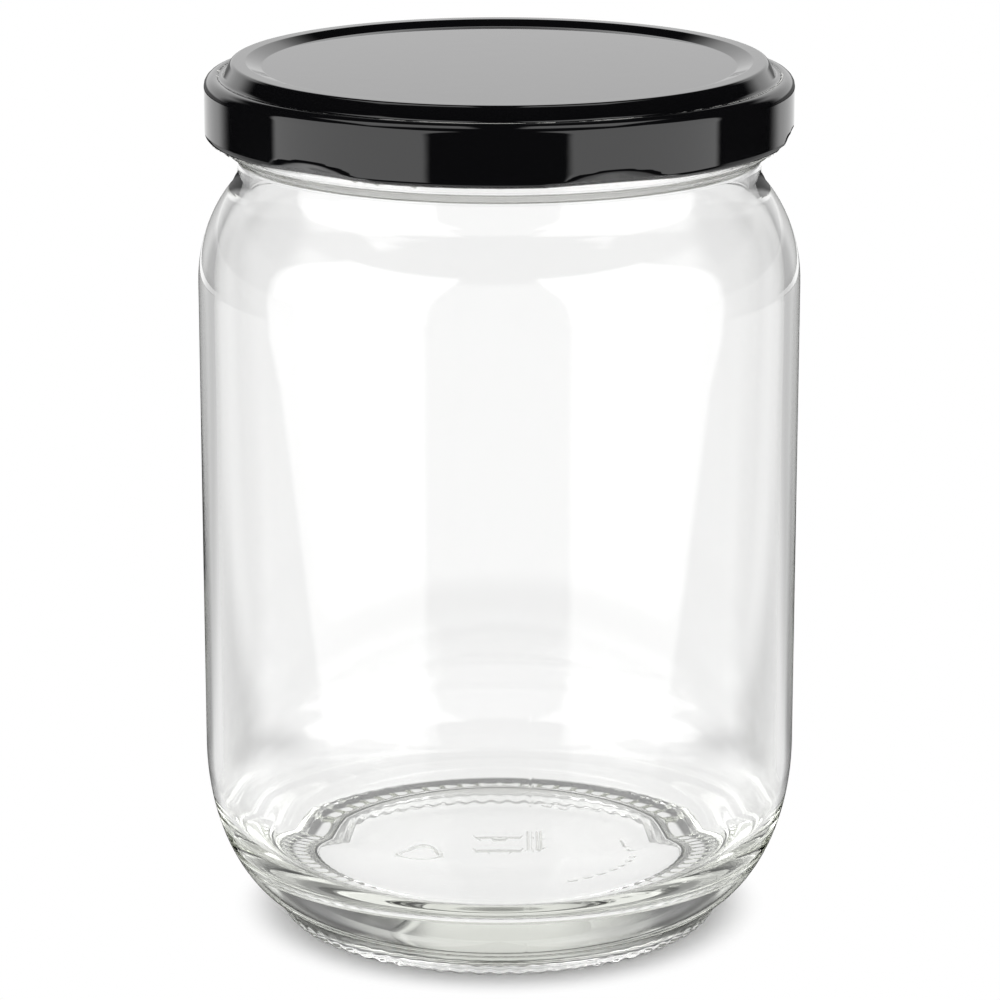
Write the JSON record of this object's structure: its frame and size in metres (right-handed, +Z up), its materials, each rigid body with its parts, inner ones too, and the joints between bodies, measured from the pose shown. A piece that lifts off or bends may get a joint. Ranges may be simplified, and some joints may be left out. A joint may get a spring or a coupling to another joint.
{
  "type": "twist-off glass jar",
  "caption": "Empty clear glass jar with rounded shoulder and heel, closed by a glossy black pressed steel twist-off lid with inward lugs and a sealing ring.",
  "frame": {"origin": "centre of the plane the jar stands on", "axes": "+Z up along the jar's axis, from the foot to the lid; -Y is the front, +X is to the right seen from the front"},
  "size_m": [0.0881, 0.088, 0.129],
  "materials": {
    "clear_glass": "clear flint glass, glossy",
    "black_lacquer": "glossy black lacquer on tinplate",
    "lining_compound": "matt, soft"
  },
  "bodies": {
    "root": {"jar": "clear_glass", "lid": "black_lacquer", "seal": "lining_compound"}
  },
  "joints": []
}
